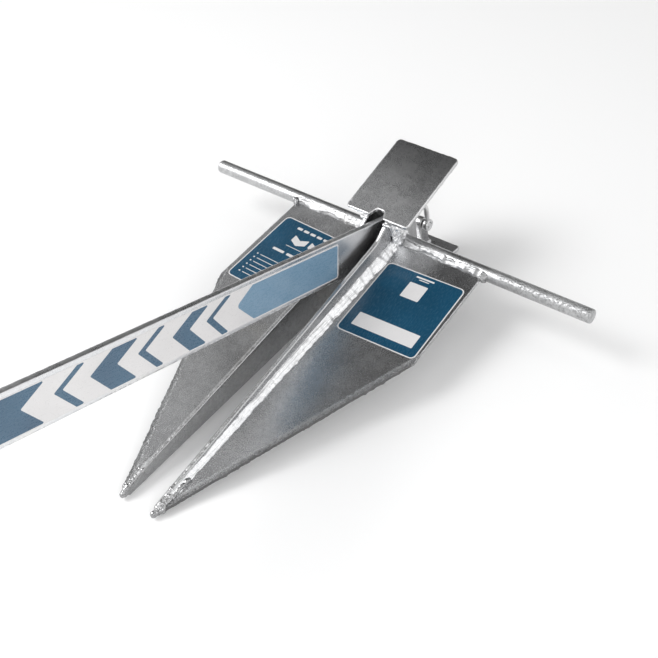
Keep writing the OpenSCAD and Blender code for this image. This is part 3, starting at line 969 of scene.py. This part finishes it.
def shank_bar():
    loop = []
    for centre, start in ((SHANK_REACH, -90), (0.0, 90)):
        arc = [math.radians(start + 180 * k / 40) for k in range(41)]
        loop += [(centre + SHANK_R * math.cos(a), SHANK_R * math.sin(a)) for a in arc]
    holes = [circle((0, 0), SHANK_BORE_R), circle((SHANK_REACH, 0), EYE_R)]
    part = plate([loop] + holes, SHANK_T, edge_r=1.2, ragged=0.35, step=2.0, seed=180.0)
    return moved(part, Matrix.Translation((0, SHANK_T / 2, 0)) @ UPRIGHT)


piece("shank_bar", shank_bar(), SHANK_TO_ROW, "shank", "galvanised", BAR, ("shank",))

# ---- printed film ----

FILM = 0.16
INK = 0.05
# Heights of the film's layers above the metal
SHEET, PRINT, OVERPRINT = (0.0, FILM), (FILM, FILM + INK), (FILM + INK, FILM + 2 * INK)


def film(loop, low, high):
    """A thin sheet with upright sides, from height low to height high."""
    loop = loop if area(loop) > 0 else loop[::-1]
    count = len(loop)
    points = [Vector((u, v, low)) for u, v in loop] + [Vector((u, v, high)) for u, v in loop]
    faces = [[i, (i + 1) % count, count + (i + 1) % count, count + i] for i in range(count)]
    for tri in tessellate_polygon([[Vector((u, v, 0)) for u, v in loop]]):
        p, q, r = (points[i] for i in tri)
        tri = list(tri) if (q - p).cross(r - p).z > 0 else list(tri)[::-1]
        faces.append([count + i for i in tri])
        faces.append(tri[::-1])
    return points, faces, [0.0] * len(points)


def box_loop(x0, y0, x1, y1, r=0.0, steps=5):
    corners = [(x0, y0), (x1, y0), (x1, y1), (x0, y1)]
    return rounded(corners, [r] * 4, steps) if r else corners


def shaped(points, r):
    return rounded(points, [r] * len(points), 5)


def print_layer(name, loops, layer, place, to_row, body, slot, material, stands_for=()):
    sheets = merged([moved(film(loop, *layer), place) for loop in loops])
    piece(name, sheets, to_row, body, slot, material, stands_for, smooth=False)


LABEL_LEN = 107.0
LABEL_W = 95.0
LABEL_MIDDLE_X = 88.5
LABEL_MIDDLE_Y = {-1: 73.5, 1: 75.9}
LABEL_TURN = math.radians(2.4)
BORDER = 1.3


def label_place(side):
    """Label frame: u along the fluke from the label's rear edge, v outwards from its inner edge."""
    middle = Matrix.Translation((LABEL_MIDDLE_X, LABEL_MIDDLE_Y[side], FLUKE_T / 2))
    place = middle @ Matrix.Rotation(LABEL_TURN, 4, "Z") @ Matrix.Translation((-LABEL_LEN / 2, -LABEL_W / 2, 0))
    return MIRROR @ place if side < 0 else place


# Plain marks in place of the printing: a title bar and rule, a small square and a long panel
RIGHT_PRINT = [
    box_loop(5.0, 38.0, 7.2, 60.0, 0.6),
    box_loop(8.6, 43.0, 9.8, 55.0, 0.4),
    box_loop(15.5, 36.0, 38.0, 58.0, 1.0),
    box_loop(76.5, 12.0, 95.0, 85.5, 0.8),
]
# On the left: a row of dashes, two chevrons, a rule, two bars, then six dots, each with a line
LEFT_PRINT = [box_loop(8.0, 8.0 + 9.5 * k, 11.5, 15.0 + 9.5 * k, 0.8) for k in range(7)]
for v in (22.0, 46.0):
    LEFT_PRINT += [shaped([(20, v), (29, v), (34, v + 10), (29, v + 20), (20, v + 20), (25, v + 10)], 0.8)]
LEFT_PRINT += [box_loop(37.5, 24.0, 38.3, 66.0)]
LEFT_PRINT += [box_loop(47.0, v0, 50.5, v1, 0.8) for v0, v1 in ((60.0, 76.0), (38.0, 56.0))]
LEFT_PRINT += [box_loop(64.0 + 6.2 * k, 84.0, 65.8 + 6.2 * k, 86.0, 0.5) for k in range(6)]
LEFT_PRINT += [box_loop(64.4 + 6.2 * k, 50.0 - 4 * (k % 3), 65.3 + 6.2 * k, 81.0) for k in range(6)]

for word, prints in (("left", LEFT_PRINT), ("right", RIGHT_PRINT)):
    outer = box_loop(0, 0, LABEL_LEN, LABEL_W, 6.0, 8)
    inner = box_loop(BORDER, BORDER, LABEL_LEN - BORDER, LABEL_W - BORDER, 5.0, 8)
    args = (label_place(SIDES[word]), TO_ROW, "flukes", "label_vinyl")
    print_layer(word + "_label_film", [outer], SHEET, *args, FILM_WHITE, (word + "_label",))
    print_layer(word + "_label_ink", [inner], PRINT, *args, LABEL_BLUE)
    print_layer(word + "_label_marks", prints, OVERPRINT, *args, FILM_WHITE)

DECAL_START = 97.0
DECAL_END = SHANK_REACH - DECAL_START
DECAL_HALF = 21.25
INK_HALF = DECAL_HALF - 1.2
POINT_Z = 3.0
CHEVRON_REACH = 24.0
# Each chevron's point, as a distance from the stock, and its width
CHEVRONS = ((306.0, 9.0), (350.0, 22.0), (392.0, 9.0), (446.0, 30.0), (484.0, 9.0))


def chevron(tip, width):
    """A band across the strip, bent to a point towards the eye end."""
    h, back = INK_HALF, tip - CHEVRON_REACH
    right = [(tip, POINT_Z), (back, h), (back - width, h)]
    left = [(tip - width, POINT_Z), (back - width, -h), (back, -h)]
    return shaped((right + left)[::-1], 1.0)


def decal_shapes():
    """Sheet, panel at the crown end, then plain chevrons, as loops of (distance from the stock, height)."""
    h, wide = INK_HALF, DECAL_HALF
    sheet = [(106.0, wide), (DECAL_START + 0.2, -wide), (DECAL_END, -wide), (DECAL_END, wide)]
    panel = [(107.0, h - 0.6), (99.5, -h + 0.4), (236.0, -h + 0.4), (264.0, POINT_Z), (243.0, h - 0.6)]
    end = [(DECAL_END - 1.4, h), (493.0, h), (517.0, POINT_Z), (493.0, -h), (DECAL_END - 1.4, -h)]
    bands = [chevron(tip, width) for tip, width in CHEVRONS] + [shaped(end, 1.0)]
    return rounded(sheet, [3] * 4), rounded(panel, [2.5, 2.5, 2.5, 4, 2.5], 5), bands


sheet, panel, bands = decal_shapes()
for word, side in SIDES.items():
    place = axes((1, 0, 0), (0, 0, 1), (0, side, 0), (0, side * SHANK_T / 2, 0))
    args = (place, SHANK_TO_ROW, "shank", "decal_vinyl")
    print_layer(word + "_decal_film", [sheet], SHEET, *args, FILM_WHITE, ("shank_decal_" + word,))
    print_layer(word + "_decal_panel", [panel], PRINT, *args, PANEL_BLUE)
    print_layer(word + "_decal_bands", bands, PRINT, *args, DECAL_BLUE)

# ---- floor, light and camera ----

FLOOR_SIZE = 6.0
FLOOR_DROP = 0.0003
FLOOR_COLOUR = (0.94, 0.94, 0.94, 1.0)


def link(name, data):
    obj = bpy.data.objects.new(name, data)
    bpy.context.scene.collection.objects.link(obj)
    return obj


def floor():
    half = FLOOR_SIZE / 2
    mesh = bpy.data.meshes.new("floor")
    mesh.from_pydata([(-half, -half, 0), (half, -half, 0), (half, half, 0), (-half, half, 0)], [], [(0, 1, 2, 3)])
    obj = link("floor", mesh)
    material = bpy.data.materials.new("floor_pale")
    material.use_nodes = True
    shader = material.node_tree.nodes["Principled BSDF"]
    shader.inputs["Base Color"].default_value = FLOOR_COLOUR
    shader.inputs["Roughness"].default_value = 0.9
    shader.inputs["Specular IOR Level"].default_value = 0.1
    mesh.materials.append(material)
    obj.location.z = -FLOOR_DROP


SKY_LEVEL = 0.66
SKY_DARKEST = 0.05
# Soft patches of the studio: direction, inner and outer radius in degrees, level added at the middle
SKY_PATCHES = (
    ("curtain", (-0.611, -0.272, 0.743), 14, 22, -0.61),
    ("curtain_low", (-0.790, -0.590, 0.140), 10, 23, -0.50),
    ("ceiling_box", (0.520, -0.660, 0.540), 14, 28, 1.10),
    ("side_strip", (-0.400, 0.800, 0.450), 13, 32, 0.90),
    ("curtain_top", (0.050, -0.350, 0.935), 8, 20, -0.50),
    ("curtain_far", (-0.131, -0.577, 0.806), 4, 12, -0.18),
    ("curtain_back", (-0.860, -0.330, 0.380), 10, 24, -0.42),
    ("camera_side", (0.720, 0.640, 0.260), 12, 34, -0.42),
)


def studio_sky():
    """A pale room with two bright soft boxes, and dark curtains where flat metal has to read grey."""
    world = bpy.data.worlds.new("studio")
    world.use_nodes = True
    background = world.node_tree.nodes["Background"]
    n = Nodes(world.node_tree)
    way = n.add("ShaderNodeTexCoord").outputs["Generated"]
    total = SKY_LEVEL
    for name, direction, inner, outer, level in SKY_PATCHES:
        facing = n.add("ShaderNodeVectorMath", name=name, operation="DOT_PRODUCT")
        n.put(facing.inputs[0], way)
        n.put(facing.inputs[1], TURN_TO_ROW @ Vector(direction).normalized())
        edge, full = math.cos(math.radians(outer)), math.cos(math.radians(inner))
        total = n.plus(total, n.span(facing.outputs["Value"], edge, full, 0.0, level))
    n.put(background.inputs["Strength"], n.math("MAXIMUM", total, SKY_DARKEST))
    n.put(background.inputs["Color"], (1.0, 1.0, 1.0, 1.0))
    bpy.context.scene.world = world


def area_light(name, location, size, power):
    """A soft box that aims at the origin."""
    data = bpy.data.lights.new(name, "AREA")
    data.shape = "RECTANGLE"
    data.size, data.size_y = size
    data.energy = power
    obj = link(name, data)
    obj.location = location
    obj.rotation_euler = (-Vector(location)).to_track_quat("-Z", "Y").to_euler()


# The camera in the anchor frame: its place in millimetres, then the directions out of its back and its top
CAMERA_PLACE = Vector((692.5, 572.7, 847.3))
CAMERA_BACK = Vector((0.475114, 0.477397, 0.739160))
CAMERA_UP = Vector((-0.650564, -0.375036, 0.660389))
CAMERA_LENS = 60.27
CAMERA_SENSOR = 36.0
CAMERA_CLIP = 0.02


def camera():
    data = bpy.data.cameras.new("camera")
    data.lens = CAMERA_LENS
    data.sensor_width = CAMERA_SENSOR
    data.clip_start = CAMERA_CLIP
    back, up = TURN_TO_ROW @ CAMERA_BACK, TURN_TO_ROW @ CAMERA_UP
    obj = link("camera", data)
    obj.matrix_world = axes(up.cross(back), up, back, TO_ROW @ CAMERA_PLACE)
    bpy.context.scene.camera = obj


floor()
studio_sky()
area_light("key", location=(0.9, -1.2, 1.9), size=(1.2, 1.2), power=30.0)
area_light("fill", location=(1.6, 1.6, 1.2), size=(1.6, 1.0), power=18.0)
camera()
bpy.context.scene.view_settings.view_transform = "Standard"
